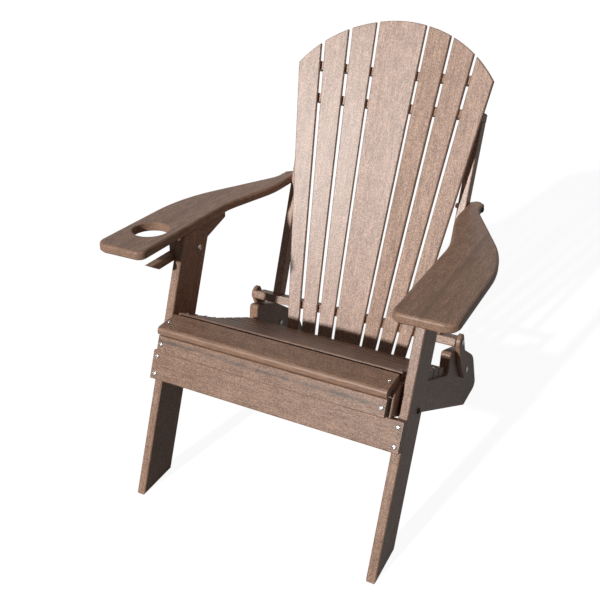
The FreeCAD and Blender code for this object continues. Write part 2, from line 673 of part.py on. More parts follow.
def bolt(length):
    """A pivot bolt with a round shank that runs in its holes."""
    shank = Part.makeCylinder(value("bolt_radius"), value(length), FreeCAD.Vector(0, 0, -value(length)))
    return headed(shank, "head_radius", "head_height", 12)


def nut(capped=False):
    """A hexagon nut on Z = 0, closed by a crown where it is capped."""
    radius, height = value("nut_radius"), value("nut_height")
    if capped:
        return stack(6, [(radius, 0), (radius, height), (0.8 * radius, 1.4 * height), (0.3 * radius, 1.6 * height)])
    return stack(6, [(radius, 0), (radius, height)]).cut(Part.makeCylinder(value(BOLT_HOLE), height))


def washer(thickness):
    """A flat ring on Z = 0."""
    height, radius = value(thickness), value("1.7 * head_radius")
    return stack(16, [(radius, 0), (radius, height)]).cut(Part.makeCylinder(value(BOLT_HOLE), height))


def fasteners(label, shapes, spots):
    """One sub-part with like fasteners, each given by its seat and the way its head or face looks."""
    if not isinstance(shapes, list):
        shapes = [shapes] * len(spots)
    copies = []
    for shape, (seat, way) in zip(shapes, spots):
        copy = shape.copy()
        copy.Placement = FreeCAD.Placement(seat, FreeCAD.Rotation(FreeCAD.Vector(0, 0, 1), way))
        copies.append(copy)
    feature = doc.addObject("Part::Feature", label)
    feature.Label = label
    feature.Shape = Part.makeCompound(copies)
    feature.Placement = FreeCAD.Placement()
    pieces.append(feature)


def pair(x, point, outwards=True):
    """Seats on both sides of the chair, looking out or in along X."""
    way = 1 if outwards else -1
    return [(vector("%d * (%s)" % (side, x), point[0], point[1]), FreeCAD.Vector(side * way, 0, 0))
            for name, side in SIDES]


def direction(point_maker, along, across):
    """Unit vector of a side-view frame."""
    y, z = point_maker(str(along), str(across))
    y_zero, z_zero = point_maker("0", "0")
    return vector("0", "%s - (%s)" % (y, y_zero), "%s - (%s)" % (z, z_zero))


def make_fasteners():
    """Screws, pivot bolts, washers and nuts."""
    front = direction(on_leg, 0, -1)
    rear = direction(on_back, 0, 1)
    up_back = direction(on_back, 1, 0)
    rail_centre, leg_centre = "(rail_inner + seat_end) / 2", "leg_inner + board / 2"

    def spots(x, point, way):
        return [(vector("%d * (%s)" % (side, x), point[0], point[1]), way) for name, side in SIDES]

    apron_middle = on_leg("(rail_toe + apron_brow) / 2", "-apron_face")
    fasteners("apron_screws", screw("board + screw_bite"), spots(rail_centre, apron_middle, front))
    holds = []
    for along in ("stretcher_low + stretcher_height / 5", "stretcher_top - stretcher_height / 5"):
        holds += spots(leg_centre, on_leg(along, "-board"), front)
    fasteners("stretcher_screws", screw("board + screw_bite"), holds)
    holds = spots(rail_centre, ("front_slat_y + front_slat_width / 2", "seat_height + board"),
                  FreeCAD.Vector(0, 0, 1))
    for index in range(8):
        half, place = divmod(index, 4)
        holds += spots(rail_centre, on_seat(half, "%d * seat_pitch + seat_pitch / 2" % place, "board"),
                       direction(lambda along, over, half=half: on_seat(half, along, over), 0, 1))
    fasteners("seat_screws", screw("board + screw_bite"), holds)

    for label, rows in (("slat_screws_long", (("0", "bar_depth"), ("upper_cleat_at", "bar_depth"))),
                        ("slat_screws_short", (("top_cleat_at", "top_cleat_depth"),))):
        screws, holds = [], []
        for along, depth in rows:
            fold = fan_edge("fold_low", "fold_high", along)
            y, z = on_back(along, depth)
            for order, (low_in, low_out, high_in, high_out) in enumerate(fan_slats()):
                edge_in, edge_out = fan_edge(low_in, high_in, along), fan_edge(low_out, high_out, along)
                out = "(%s) * 0.6 + (%s) * 0.4 - (%s)" % (edge_in, edge_out, fold)
                x, sunk = "%s + (%s) * cos(fan_turn)" % (fold, out), "back_hollow - (%s) * sin(fan_turn)" % out
                if order == 0:
                    x, sunk = "0", "back_hollow"
                for side in (1,) if order == 0 else (-1, 1):
                    screws.append(screw("%s - (%s) + slat_thick / 2" % (depth, sunk)))
                    holds.append((vector("%d * (%s)" % (side, x), y, z), rear))
        fasteners(label, screws, holds)
    holds = []
    post = "upright_spread / 2 - board / 2"
    for along, way in (("-board / 2", up_back * -1), ("upper_cleat_at + board / 2", up_back)):
        holds += spots(post, on_back(along, "joint_offset"), way)
    fasteners("frame_screws", screw("board + screw_bite"), holds)
    for name, side in SIDES:
        holds = []
        for along in ("-0.6 * bracket_front", "0.22 * bracket_rear"):
            point = on_arm(along, "-bracket_low")
            holds.append((vector("%d * (bracket_inner + board / 2)" % side, point[0], point[1]),
                          direction(on_arm, 0, -1)))
        fasteners("arm_screws_" + name, screw("arm_over + bracket_low + screw_bite / 2"), holds)

    fasteners("seat_pivot_bolts", bolt("board + pivot_gap + rail_thick + rest_gap + nut_height"),
              pair("leg_spread / 2", PIVOT_A))
    fasteners("seat_pivot_washers", washer("pivot_gap - rest_gap"), pair("leg_inner", PIVOT_A, False))
    fasteners("seat_pivot_nuts", nut(), pair("rail_inner - rest_gap", PIVOT_A, False))
    fasteners("arm_pivot_bolts", bolt("2 * board + side_gap + rest_gap + nut_height"),
              pair("leg_inner", PIVOT_B, False))
    fasteners("arm_pivot_nuts", nut(), pair("bracket_inner + board + rest_gap", PIVOT_B))
    fasteners("link_pivot_bolts", bolt("rest_gap + link_thick + side_gap + rail_thick + nut_height"),
              pair("rail_outer + side_gap + link_thick + rest_gap", PIVOT_F))
    fasteners("link_pivot_nuts", nut(), pair("rail_inner", PIVOT_F, False))
    fasteners("link_upper_bolts", bolt("rest_gap + link_thick + side_gap + board + screw_bite"),
              pair("rail_outer + side_gap + link_thick + rest_gap", PIVOT_E))
    fasteners("back_pivot_nuts", nut(True), pair("upright_spread / 2 - board", PIVOT_C, False))
    tip = pair("upright_spread / 2 + side_gap + arm_tip", PIVOT_C)
    for (name, side), spot in zip(SIDES, tip):
        fasteners("back_pivot_bolt_" + name, bolt("arm_tip + side_gap - rest_gap"), [spot])


make_legs()
make_seat()
make_links()
make_arms()
make_back()
make_fasteners()
doc.recompute()

# Origin under the middle of the chair's box
boxes = [piece.Shape.optimalBoundingBox(False) for piece in pieces]
middle = (min(box.YMin for box in boxes) + max(box.YMax for box in boxes)) / 2
to_centre = FreeCAD.Placement(FreeCAD.Vector(0, -middle, 0), UPRIGHT)
for piece in pieces:
    piece.Placement = to_centre.multiply(piece.Placement)
doc.recompute()

for item in doc.Objects:
    if "Invalid" in item.State or "Error" in item.State:
        raise RuntimeError("%s is %s" % (item.Label, item.State))
for piece in pieces:
    if piece.Shape.isNull() or not piece.Shape.isValid():
        raise RuntimeError("%s has no valid shape" % piece.Label)
os.makedirs("parts", exist_ok=True)
for piece in pieces:
    piece.Shape.exportStep(os.path.join("parts", piece.Label + ".step"))
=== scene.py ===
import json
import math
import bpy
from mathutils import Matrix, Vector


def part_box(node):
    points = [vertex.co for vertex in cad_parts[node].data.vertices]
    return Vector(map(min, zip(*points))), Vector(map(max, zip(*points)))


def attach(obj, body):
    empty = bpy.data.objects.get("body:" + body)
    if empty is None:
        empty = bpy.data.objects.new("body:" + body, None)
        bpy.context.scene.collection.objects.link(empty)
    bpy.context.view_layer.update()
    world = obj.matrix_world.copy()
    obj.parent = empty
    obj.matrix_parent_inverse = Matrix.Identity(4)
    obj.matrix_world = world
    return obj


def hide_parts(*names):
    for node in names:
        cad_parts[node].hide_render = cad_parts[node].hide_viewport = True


bl_info = {
    "name": "Folding Lounge Chair Looks",
    "version": (1, 0, 0),
    "blender": (4, 5, 0),
    "location": "View3D > Sidebar > Lounge Chair",
    "description": "Dresses the CAD model of a folding plastic-lumber lounge chair",
    "category": "Object",
}

import bmesh
import bpy
import numpy as np
from bpy.props import FloatProperty, FloatVectorProperty, PointerProperty
from mathutils import Matrix, Vector

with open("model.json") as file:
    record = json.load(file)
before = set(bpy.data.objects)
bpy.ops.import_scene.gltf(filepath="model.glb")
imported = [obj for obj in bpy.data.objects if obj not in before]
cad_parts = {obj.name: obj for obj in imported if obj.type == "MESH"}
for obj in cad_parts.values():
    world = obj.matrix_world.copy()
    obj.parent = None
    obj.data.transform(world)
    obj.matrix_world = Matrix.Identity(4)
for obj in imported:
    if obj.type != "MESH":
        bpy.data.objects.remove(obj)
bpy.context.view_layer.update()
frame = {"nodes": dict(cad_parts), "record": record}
BODIES = frame["record"]["behaviour"]["bodies"]
BODY_OF_NODE = {node: body for body, nodes in BODIES.items() for node in nodes}
STEEL = "stainless_steel"
X, Y, Z = 0, 1, 2


class LumberSettings(bpy.types.PropertyGroup):
    """Colours and grain of the recycled plastic boards, with painted sheen on the back's slats and
    painted shade on the seat's slats.
    """

    # Painted sheen: the back's slats and uprights are painted paler than the other boards, the lumber's
    # own brown lifted to stand in for the key light's gloss on the back
    slat_colour_and_sheen: FloatVectorProperty(
        name="Back slats", description="Main colour of the back's slats and uprights",
        subtype="COLOR", default=(0.46, 0.3, 0.224), min=0.0, max=1.0)
    front_colour: FloatVectorProperty(
        name="Apron and stretcher", description="Main colour of the two boards across the front",
        subtype="COLOR", default=(0.325, 0.195, 0.134), min=0.0, max=1.0)
    # Painted shade: the narrow seat slats are painted darker than the other boards, the lumber's own
    # brown darkened for the shade on the seat's top, which faces away from the key light
    seat_colour_and_shade: FloatVectorProperty(
        name="Seat slats", description="Main colour of the narrow seat slats",
        subtype="COLOR", default=(0.27, 0.155, 0.105), min=0.0, max=1.0)
    board_colour: FloatVectorProperty(
        name="Other boards", description="Main colour of the arms, the legs, the rails and the links",
        subtype="COLOR", default=(0.355, 0.213, 0.147), min=0.0, max=1.0)
    routed_colour: FloatVectorProperty(
        name="Routed edge", description="Colour of the smoother routed edges",
        subtype="COLOR", default=(0.41, 0.245, 0.168), min=0.0, max=1.0)
    streak_colour: FloatVectorProperty(
        name="Streak", description="Colour of the long dark streaks",
        subtype="COLOR", default=(0.075, 0.068, 0.072), min=0.0, max=1.0)
    flake_contrast: FloatProperty(
        name="Flake contrast", description="How far flakes are darker and lighter than the board",
        subtype="FACTOR", default=0.7, min=0.0, max=1.0)
    flake_size: FloatProperty(
        name="Flake size", description="Usual size of a flake",
        unit="LENGTH", default=0.0022, min=0.0005)
    grain_depth: FloatProperty(
        name="Grain depth", description="Depth of the embossed grain",
        unit="LENGTH", default=0.0006, min=0.0)


class SteelSettings(bpy.types.PropertyGroup):
    """Sizes and colours of screws and bolts, with near-black steel as painted shade on some pivot
    bolts.
    """

    colour: FloatVectorProperty(
        name="Steel", description="Colour of the stainless steel",
        subtype="COLOR", default=(0.62, 0.61, 0.59), min=0.0, max=1.0)
    # Painted shade: near-black steel on the pivot bolts of the legs and of the back stands in for
    # shade; on the legs it stands in for the shaded counterbores that the real bolt heads sit in
    bolt_shade_colour: FloatVectorProperty(
        name="Shadowed steel", description="Colour of the shadowed bolts of the legs and of the back",
        subtype="COLOR", default=(0.035, 0.033, 0.033), min=0.0, max=1.0)
    screw_head: FloatProperty(
        name="Screw head", description="Radius of a screw head",
        unit="LENGTH", default=0.0056, min=0.001)
    seat_head: FloatProperty(
        name="Seat screw head", description="Radius of a seat screw's head",
        unit="LENGTH", default=0.0042, min=0.001)
    screw_dome: FloatProperty(
        name="Screw dome", description="Height of a screw head",
        unit="LENGTH", default=0.0026, min=0.0005)
    screw_shank: FloatProperty(
        name="Screw shank", description="Radius of a screw shank",
        unit="LENGTH", default=0.0022, min=0.0005)
    screw_length: FloatProperty(
        name="Screw length", description="Length of a seat screw below its head",
        unit="LENGTH", default=0.048, min=0.005)
    bolt_head: FloatProperty(
        name="Bolt head", description="Radius of a pivot bolt's head",
        unit="LENGTH", default=0.0075, min=0.001)
    bolt_dome: FloatProperty(
        name="Bolt dome", description="Height of a pivot bolt's head",
        unit="LENGTH", default=0.0045, min=0.0005)
    bolt_shank: FloatProperty(
        name="Bolt shank", description="Radius of a pivot bolt",
        unit="LENGTH", default=0.004, min=0.001)


class StageSettings(bpy.types.PropertyGroup):
    """Camera, light and floor."""

    eye: FloatVectorProperty(
        name="Eye", description="Place of the camera",
        subtype="TRANSLATION", unit="LENGTH", default=(0.7662, -1.5903, 1.3905))
    heading: FloatProperty(
        name="Heading", description="Turn of the camera from the chair's front to its right side",
        subtype="ANGLE", unit="ROTATION", default=math.radians(28.185))
    dip: FloatProperty(
        name="Dip", description="Angle of the camera below the horizon",
        subtype="ANGLE", unit="ROTATION", default=math.radians(28.992))
    roll: FloatProperty(
        name="Roll", description="Roll of the camera",
        subtype="ANGLE", unit="ROTATION", default=math.radians(-1.103))
    lens: FloatProperty(
        name="Lens", description="Focal length on a 36 mm frame",
        unit="CAMERA", default=47.726, min=10.0)
    sun_strength: FloatProperty(
        name="Key light", description="Strength of the key light", default=2.67, min=0.0)
    sun_size: FloatProperty(
        name="Key size", description="Angle that the key light fills, for soft shadows",
        subtype="ANGLE", unit="ROTATION", default=math.radians(2.0), min=0.0)
    sky_strength: FloatProperty(
        name="Fill light", description="Strength of the even fill light", default=0.035, min=0.0)
    key_way: FloatVectorProperty(
        name="Key side", description="Direction from the chair to the key light",
        subtype="DIRECTION", default=(-0.197, -0.887, 0.418))
    rear_strength: FloatProperty(
        name="Rear light", description="Strength of the broad lamp behind the chair",
        default=1.0, min=0.0)
    rear_size: FloatProperty(
        name="Rear size", description="Angle that the rear lamp fills",
        subtype="ANGLE", unit="ROTATION", default=math.radians(40.0), min=0.0)
    rear_way: FloatVectorProperty(
        name="Rear side", description="Direction from the chair to the rear lamp",
        subtype="DIRECTION", default=(-0.28, 0.95, 0.08))
    mirrored_sky: FloatProperty(
        name="Mirrored sky", description="Share of the white sky that glossy surfaces mirror",
        subtype="FACTOR", default=0.45, min=0.0, max=1.0)
    mirrored_floor: FloatProperty(
        name="Mirrored floor", description="Share of the white floor that glossy surfaces mirror",
        subtype="FACTOR", default=0.22, min=0.0, max=1.0)
    floor_glow: FloatProperty(
        name="Floor glow", description="Share of white that the floor shows without light",
        subtype="FACTOR", default=0.935, min=0.0, max=1.0)
    floor_colour: FloatVectorProperty(
        name="Floor", description="Colour of the floor",
        subtype="COLOR", default=(0.2, 0.2, 0.195), min=0.0, max=1.0)
    floor_size: FloatProperty(
        name="Floor size", description="Half width of the floor",
        unit="LENGTH", default=30.0, min=1.0)


class Value:
    """A number or colour that changes over a surface; sums and products of values add Math nodes."""

    def __init__(self, build, socket):
        self.build = build
        self.socket = socket

    def math(self, operation, first, second):
        """A Math node on two numbers or values."""
        return self.build.node("ShaderNodeMath", {"operation": operation}, {0: first, 1: second})

    def __add__(self, other):
        return self.math("ADD", self, other)

    def __radd__(self, other):
        return self.math("ADD", other, self)

    def __sub__(self, other):
        return self.math("SUBTRACT", self, other)

    def __rsub__(self, other):
        return self.math("SUBTRACT", other, self)

    def __mul__(self, other):
        return self.math("MULTIPLY", self, other)

    def __rmul__(self, other):
        return self.math("MULTIPLY", other, self)

    def __truediv__(self, other):
        return self.math("DIVIDE", self, other)

    def __rtruediv__(self, other):
        return self.math("DIVIDE", other, self)

    def larger(self, other):
        """The larger of two values."""
        return self.math("MAXIMUM", self, other)

    def size(self):
        """The value without its sign."""
        return self.math("ABSOLUTE", self, 0.0)


class Build:
    """The node tree of one material or world, filled from an empty start."""

    def __init__(self, owner):
        owner.use_nodes = True
        self.tree = owner.node_tree
        self.tree.nodes.clear()

    def node(self, kind, settings=None, inputs=None, output=0):
        """One node: its settings first, then its sockets' values or links; gives one output."""
        made = self.tree.nodes.new(kind)
        for name, setting in (settings or {}).items():
            setattr(made, name, setting)
        for key, given in (inputs or {}).items():
            socket = made.inputs[key]
            if isinstance(given, Value):
                self.tree.links.new(given.socket, socket)
            elif socket.type == "RGBA":
                socket.default_value = (*given, 1.0)
            else:
                socket.default_value = given
        return Value(self, made.outputs[output]) if made.outputs else None

    def mapped(self, where, kind, **inputs):
        """Coordinates or normals that are turned or scaled."""
        return self.node("ShaderNodeMapping", {"vector_type": kind}, {"Vector": where, **inputs})

    def noise(self, where, scale, detail, rough):
        """A cloud pattern from 0 to 1, with a number of waves per metre."""
        return self.node("ShaderNodeTexNoise", {"noise_dimensions": "3D"}, {
            "Vector": where, "Scale": scale, "Detail": detail, "Roughness": rough}, "Fac")

    def ramp(self, value, low, high):
        """A smooth step from 0 at low to 1 at high."""
        return self.node("ShaderNodeMapRange", {"interpolation_type": "SMOOTHSTEP"}, {
            "Value": value, "From Min": low, "From Max": high})

    def mix(self, share, first, second):
        """A colour between two colours."""
        return self.node("ShaderNodeMix", {"data_type": "RGBA"}, {0: share, 6: first, 7: second}, 2)

    def bump(self, strength, depth, height):
        """A normal that follows a height pattern."""
        return self.node("ShaderNodeBump", None, {
            "Strength": strength, "Distance": depth, "Height": height})

    def seen(self, mirrored):
        """1 where the camera looks straight or through glass, less in a mirror, 0 for other light."""
        rays = [self.node("ShaderNodeLightPath", None, None, ray)
                for ray in ("Is Camera Ray", "Is Transmission Ray", "Is Glossy Ray")]
        return rays[0].larger(rays[1]).larger(mirrored * rays[2])

    def surface(self, shader):
        """Ends the tree with this shader."""
        self.node("ShaderNodeOutputMaterial", None, {"Surface": shader})


# Scale of the lumber's patterns along a board: long as grain, or only a little longer than wide
STRETCHES = {"grain": 0.07, "soft": 0.6}
# The lumber's patterns: stretch, waves per flake, detail and roughness of the noise
PATTERNS = {
    "flakes": ("soft", 1.0, 2.0, 0.75),
    "specks": ("soft", 1.7, 2.0, 0.7),
    "dimples": ("soft", 0.42, 2.0, 0.6),
    "clouds": ("soft", 0.11, 3.0, 0.6),
    "lines": ("grain", 0.22, 4.0, 0.65),
    "threads": ("grain", 0.8, 2.0, 0.6),
}
TONE_SHARES = {"flakes": 0.42, "specks": 0.24, "clouds": 0.10, "lines": 0.10, "threads": 0.14}
DEPTH_SHARES = {"flakes": 0.35, "specks": 0.2, "lines": 0.15, "dimples": 0.9}
MIDDLE, TONE_REACH = 0.5, 0.07
PALE_SHARE, DARK_SHARES = 0.9, (0.55, 0.65, 0.72)
# A band of streaks is broken into dashes, speckled by flakes, and wanders by half widths
DASHES, WANDER, WANDER_REACH = ("soft", 0.22, 2.0, 0.6), (40.0, 2.0, 0.5), 2.0
DASH_SWING, FLAKE_SWING, STREAK_START, STREAK_FULL = 2.4, 6.0, 0.6, 1.2
# A face is an edge where its normal's largest part falls from flat to full
EDGE_FLAT, EDGE_FULL, EDGE_SHARE, EDGE_SMOOTH, EDGE_ROUGH = 0.985, 0.90, 0.75, 0.7, 0.04
ROUTED_LOW, ROUTED_HIGH, ROUTED_DARK, ROUTED_PALE = 0.38, 0.62, 0.74, 1.14
LUMBER_ROUGH, ROUGH_SWING, LUMBER_GLOSS, GRAIN_STRENGTH = 0.38, 0.2, 0.45, 0.6


def blend(patterns, shares):
    """The sum of the patterns that shares names, each times its share."""
    return sum(share * patterns[title] for title, share in shares.items())


def lumber_material(name, turn, along, body, band=None, sawn=None):
    """Recycled plastic lumber: flakes, specks and threads of tone, dimples, smoother edges.

    turn is the board's tilt about X in degrees, along the axis of its length once it is laid flat and
    body its main colour. band gives the axis across a band of dark streaks, its place on that axis, its
    half width and its strength. sawn is the axis of its thickness where all its edges are sawn to
    shape; otherwise only its rounded edges are smooth.
    """
    look = bpy.context.scene.chair_lumber
    material = bpy.data.materials.new(name)
    build = Build(material)
    place = build.node("ShaderNodeTexCoord", None, None, "Object")
    facing = build.node("ShaderNodeTexCoord", None, None, "Normal")
    lay = (math.radians(turn), 0.0, 0.0)
    flat = build.mapped(place, "POINT", Rotation=lay)
    spaces = {}
    for space, stretch in STRETCHES.items():
        scale = [1.0, 1.0, 1.0]
        scale[along] = stretch
        spaces[space] = build.mapped(flat, "POINT", Scale=scale)
    waves = 1.0 / look.flake_size

    def pattern(space, rate, detail, rough):
        """Noise in a stretched space, its waves counted per flake."""
        return build.noise(spaces[space], rate * waves, detail, rough)

    patterns = {title: pattern(*given) for title, given in PATTERNS.items()}
    level = blend(patterns, TONE_SHARES)
    dark = build.ramp(level, MIDDLE, MIDDLE - TONE_REACH)
    light = build.ramp(level, MIDDLE, MIDDLE + TONE_REACH)
    contrast = look.flake_contrast
    paler = [min(1.0, part * (1.0 + PALE_SHARE * contrast)) for part in body]
    darker = [part * (1.0 - share * contrast) for part, share in zip(body, DARK_SHARES)]
    colour = build.mix(light, body, paler)
    colour = build.mix(dark, colour, darker)

    if band is not None:
        axis, at, half, share = band
        across = build.node("ShaderNodeSeparateXYZ", None, {0: flat}, axis).size()
        wander = WANDER_REACH * half * (build.noise(spaces["grain"], *WANDER) - MIDDLE)
        nearness = 1.0 - (across - at + wander).size() / half
        dashes = DASH_SWING * (pattern(*DASHES) - MIDDLE)
        speckle = FLAKE_SWING * (patterns["flakes"] - MIDDLE)
        streak = build.ramp(nearness + dashes + speckle, STREAK_START, STREAK_FULL)
        colour = build.mix(share * streak, colour, look.streak_colour[:])

    turned = build.mapped(facing, "NORMAL", Rotation=lay)
    parts = [build.node("ShaderNodeSeparateXYZ", None, {0: turned}, axis).size() for axis in (X, Y, Z)]
    broad = parts[X].larger(parts[Y]).larger(parts[Z]) if sawn is None else parts[sawn]
    edge = build.ramp(broad, EDGE_FLAT, EDGE_FULL)
    routed = build.mix(build.ramp(patterns["threads"], ROUTED_LOW, ROUTED_HIGH),
                       [ROUTED_DARK * part for part in look.routed_colour],
                       [ROUTED_PALE * part for part in look.routed_colour])
    colour = build.mix(EDGE_SHARE * edge, colour, routed)

    height = blend(patterns, DEPTH_SHARES) * (1.0 - EDGE_SMOOTH * edge)
    rough = LUMBER_ROUGH + ROUGH_SWING * (patterns["specks"] - MIDDLE) + EDGE_ROUGH * edge
    build.surface(build.node("ShaderNodeBsdfPrincipled", None, {
        "Base Color": colour, "Roughness": rough, "Specular IOR Level": LUMBER_GLOSS,
        "Normal": build.bump(GRAIN_STRENGTH, look.grain_depth, height)}))
    return material


# Steel's turning marks and dull spots: waves per metre, detail and roughness of the noise
MARKS, SPOTS = (1400.0, 2.0, 0.6), (260.0, 3.0, 0.6)
MARK_STRENGTH, MARK_DEPTH = 0.2, 0.0001
SPOT_START, SPOT_FULL, SPOT_SHARE, SPOT_TONE = 0.52, 0.72, 0.5, 0.62
STEEL_ROUGH, SPOT_ROUGH = 0.26, 0.2


def steel_material(name, tone):
    """Steel of one tone with fine turning marks and a few dull spots."""
    material = bpy.data.materials.new(name)
    build = Build(material)
    place = build.node("ShaderNodeTexCoord", None, None, "Object")
    marks = build.noise(place, *MARKS)
    spots = build.ramp(build.noise(place, *SPOTS), SPOT_START, SPOT_FULL)
    build.surface(build.node("ShaderNodeBsdfPrincipled", None, {
        "Base Color": build.mix(SPOT_SHARE * spots, tone, [SPOT_TONE * part for part in tone]),
        "Metallic": 1.0, "Roughness": STEEL_ROUGH + SPOT_ROUGH * spots,
        "Normal": build.bump(MARK_STRENGTH, MARK_DEPTH, marks)}))
    return material


def dress(nodes, material):
    """Gives CAD nodes a material in all their slots."""
    for node in nodes:
        slots = frame["nodes"][node].data.materials
        slots.clear()
        slots.append(material)


def numbered(stem, first, last):
    """Names of a row of like nodes."""
    return ["%s_%d" % (stem, number) for number in range(first, last + 1)]


def both(stem):
    """Names of a left and a right node."""
    return [stem + "_left", stem + "_right"]


# Degrees about X that lay a board flat or upright
LEG_LEAN, BACK_LEAN, LINK_LEAN = 24.0, 22.8, -28.0
RAIL_FALL, ARM_FALL, SEAT_FALL_FRONT, SEAT_FALL_REAR = 31.2, 2.0, 32.0, 27.2
SEAT_FRONT, SEAT_REAR = numbered("seat_slat", 1, 4), numbered("seat_slat", 5, 8)
BACK_SLATS, CROSS_BOARDS = numbered("back_slat", 1, 7), ["top_cleat", "upper_cleat", "lower_bar"]
# Bands of streaks: axis across, place from the first board's middle, half width and strength
APRON_BAND, ARM_BAND = (Z, 0.006, 0.0065, 0.85), (X, 0.018, 0.012, 0.45)
# Boards by how they lie: name, nodes, tilt, axis of their length, colour, band, thickness axis if sawn
BOARDS = (
    ("lumber_apron", ["front_apron"], LEG_LEAN, X, "front_colour", APRON_BAND, None),
    ("lumber_stretcher", ["front_stretcher"], LEG_LEAN, X, "front_colour", None, None),
    ("lumber_front_slat", ["front_seat_slat"], 0.0, X, "board_colour", None, Z),
    # The seat slats take the colour that carries painted shade
    ("lumber_seat_front", SEAT_FRONT, SEAT_FALL_FRONT, X, "seat_colour_and_shade", None, None),
    ("lumber_seat_rear", SEAT_REAR, SEAT_FALL_REAR, X, "seat_colour_and_shade", None, None),
    ("lumber_legs", both("leg"), LEG_LEAN, Z, "board_colour", None, None),
    ("lumber_rails", both("rail"), RAIL_FALL, Y, "board_colour", None, None),
    ("lumber_arms", both("arm"), ARM_FALL, Y, "board_colour", ARM_BAND, Z),
    ("lumber_brackets", both("arm_bracket"), ARM_FALL, Y, "board_colour", None, X),
    ("lumber_links", both("link"), LINK_LEAN, Z, "board_colour", None, X),
    # The back's slats and uprights take the colour that carries painted sheen
    ("lumber_back", BACK_SLATS, BACK_LEAN, Z, "slat_colour_and_sheen", None, None),
    ("lumber_uprights", both("upright"), BACK_LEAN, Z, "slat_colour_and_sheen", None, None),
    ("lumber_bars", CROSS_BOARDS, BACK_LEAN, X, "board_colour", None, None),
)


RING_STEPS, SOCKET_RINGS, CROWN_RINGS = 30, 9, 6
# The socket's rings end and the crown's rings start at these shares of the socket's half width
SOCKET_END, CROWN_START = 1.15, 1.3
RIM_SHARE, CROWN_POWER, SOCKET_DEPTH, SOCKET_SLOPE = 0.45, 2.6, 0.6, 0.12
# The head's side starts at this share of the dome and ends at this share of the radius
SIDE_TOP, SIDE_FOOT = 0.2, 0.985
SCREW_SIDES, SCREW_SOCKET = 4, 0.42
BOLT_SIDES, BOLT_SOCKET = 6, 0.4


def socketed_head(radius, dome, shank, length, sides, socket):
    """Rings of a crowned fastener on Z, sunk by a polygon socket.

    The crown is dome * (rim + (1 - rim) * (1 - (r / R)^2.6)). A point at radius r and angle t is in
    the socket where r * cos(t folded into one side) is below the socket's half width. From the
    crown's rim the rings go down the head's side, in under it and down the shank. Gives an array of
    rings by steps by X, Y and Z.
    """
    turn = np.linspace(0.0, 2.0 * math.pi, RING_STEPS, endpoint=False)[None, :]
    rings = np.concatenate([np.linspace(0.0, socket * SOCKET_END, SOCKET_RINGS),
                            np.linspace(socket * CROWN_START, radius, CROWN_RINGS)])[:, None]
    fold = (turn + math.pi / sides) % (2.0 * math.pi / sides) - math.pi / sides
    inside = np.clip((socket - rings * np.cos(fold)) / (SOCKET_SLOPE * socket), 0.0, 1.0)
    crown = RIM_SHARE * dome + (1.0 - RIM_SHARE) * dome * (1.0 - (rings / radius) ** CROWN_POWER)
    crown = crown - SOCKET_DEPTH * dome * inside
    top = np.stack([rings * np.cos(turn), rings * np.sin(turn), crown], axis=-1)
    wall = np.array([(radius, SIDE_TOP * dome), (SIDE_FOOT * radius, 0.0), (shank, 0.0),
                     (shank, -length), (0.0, -length)])
    side = np.stack([wall[:, :1] * np.cos(turn), wall[:, :1] * np.sin(turn),
                     np.broadcast_to(wall[:, 1:], (len(wall), RING_STEPS))], axis=-1)
    return np.concatenate([top, side])


NEAR_X = 0.9
MERGE_DISTANCE = 1e-6


def turned_piece(name, rings, seats, ways):
    """Copies a ring grid to every seat, its Z axis along that seat's way, as one closed mesh.

    With a, b and w the unit vectors across the way and along it, the point (x, y, z) of the grid goes
    to seat + x * a + y * b + z * w.
    """
    count, steps = rings.shape[:2]
    ways = np.asarray(ways, dtype=float)
    ways /= np.linalg.norm(ways, axis=1, keepdims=True)
    helper = np.where(np.abs(ways[:, :1]) < NEAR_X, [[1.0, 0.0, 0.0]], [[0.0, 0.0, 1.0]])
    across = np.cross(helper, ways)
    across /= np.linalg.norm(across, axis=1, keepdims=True)
    axes = np.stack([across, np.cross(ways, across), ways], axis=1)
    points = np.einsum("rsk,nkj->nrsj", rings, axes)
    points = points + np.asarray(seats, dtype=float)[:, None, None, :]
    index = np.arange(len(axes) * count * steps).reshape(len(axes), count, steps)
    nearer, further = index[:, :-1], index[:, 1:]
    quads = np.stack([nearer, further, np.roll(further, -1, axis=2), np.roll(nearer, -1, axis=2)],
                     axis=-1)
    mesh = bpy.data.meshes.new(name)
    mesh.from_pydata(points.reshape(-1, 3), [], quads.reshape(-1, 4).tolist())
    piece = bpy.data.objects.new(name, mesh)
    bpy.context.scene.collection.objects.link(piece)
    close_poles(mesh)
    return piece


def close_poles(mesh):
    """Merges the points of a pole, smooths the faces and turns them outwards."""
    work = bmesh.new()
    work.from_mesh(mesh)
    bmesh.ops.remove_doubles(work, verts=work.verts, dist=MERGE_DISTANCE)
    bmesh.ops.recalc_face_normals(work, faces=work.faces)
    work.to_mesh(mesh)
    work.free()
    mesh.shade_smooth()


def rear_way(degrees, behind):
    """Unit vector square to a leaning board: to the rear for behind 1, to the front for -1."""
    lean = math.radians(degrees)
    return np.array([0.0, behind * math.cos(lean), -behind * math.sin(lean)])


SCREW_APART = 0.012


def apart(points, values):
    """Splits points where their sorted values leave a gap wider than a screw."""
    order = np.argsort(values)
    gaps = np.flatnonzero(np.diff(values[order]) > SCREW_APART) + 1
    return np.split(points[order], gaps)


